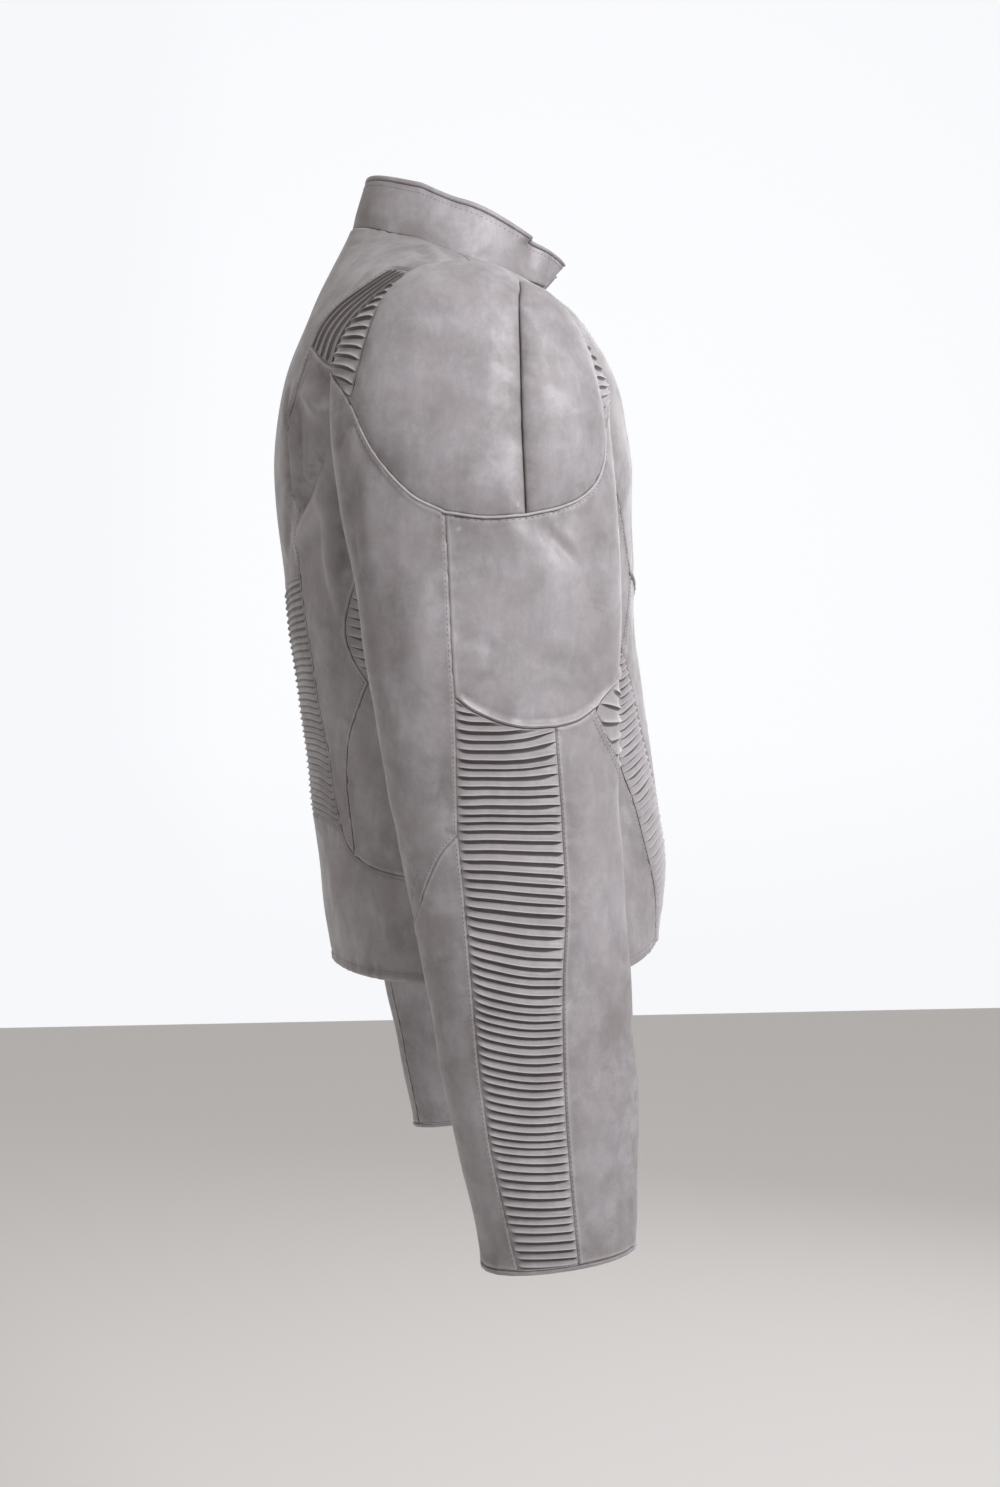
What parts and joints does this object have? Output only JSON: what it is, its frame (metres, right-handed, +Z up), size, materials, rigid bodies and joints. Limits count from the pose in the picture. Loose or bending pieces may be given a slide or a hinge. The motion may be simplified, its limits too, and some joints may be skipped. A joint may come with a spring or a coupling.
{
  "type": "leather jacket",
  "caption": "Short fitted leather jacket with a stand collar, padded piped shoulder caps, tucked panels and long sleeves, worn open.",
  "frame": {"origin": "middle of the neck opening, level with the side of the neck seam, where the wearer's neck and shoulders hold the jacket", "axes": "+Z up along the body, -Y towards the open front, +X towards the wearer's left"},
  "size_m": [0.5154, 0.2938, 0.7363],
  "materials": {
    "leather": "matt, clouded, soft",
    "ribbed_leather": "matt, sewn in tucks",
    "zip_tape": "woven tape",
    "metal": "polished"
  },
  "bodies": {
    "jacket": {"back_centre": "leather", "back_lower_left": "leather", "back_lower_right": "leather", "back_rib": "ribbed_leather", "back_upper_left": "leather", "back_upper_right": "leather", "cap_back_left": "leather", "cap_back_right": "leather", "cap_front_left": "leather", "cap_front_right": "leather", "cap_rib_back_left": "ribbed_leather", "cap_rib_back_right": "ribbed_leather", "cap_rib_front_left": "ribbed_leather", "cap_rib_front_right": "ribbed_leather", "chest_left": "leather", "chest_right": "leather", "collar": "leather", "collar_edge": "leather", "cuff_edge_left": "leather", "cuff_edge_right": "leather", "front_left": "leather", "front_lower_left": "leather", "front_lower_right": "leather", "front_rib_left": "ribbed_leather", "front_rib_right": "ribbed_leather", "front_right": "leather", "gusset_left": "leather", "gusset_right": "leather", "hem_band": "leather", "outer_left": "leather", "outer_right": "leather", "piping_left": "leather", "piping_right": "leather", "shoulder_insert_left": "ribbed_leather", "shoulder_insert_right": "ribbed_leather", "side_back_left": "leather", "side_back_right": "leather", "side_front_left": "leather", "side_front_right": "leather", "side_rear_left": "leather", "side_rear_right": "leather", "sleeve_rib_left": "ribbed_leather", "sleeve_rib_right": "ribbed_leather", "under_left": "leather", "under_right": "leather", "waist_rib_left": "ribbed_leather", "waist_rib_right": "ribbed_leather", "zip_slider": "metal", "zip_tape_left": "zip_tape", "zip_tape_right": "zip_tape", "zip_teeth_left": "metal", "zip_teeth_right": "metal"},
    "pull": {"pull_tab": "metal"}
  },
  "joints": [
    {"name": "pull_hinge", "type": "hinge", "parent": "jacket", "child": "pull", "pos_m": [0.02485, -0.16879, -0.45326], "axis": [-0.9892, -0.1289, -0.0696], "range_deg": [0, 150]}
  ]
}
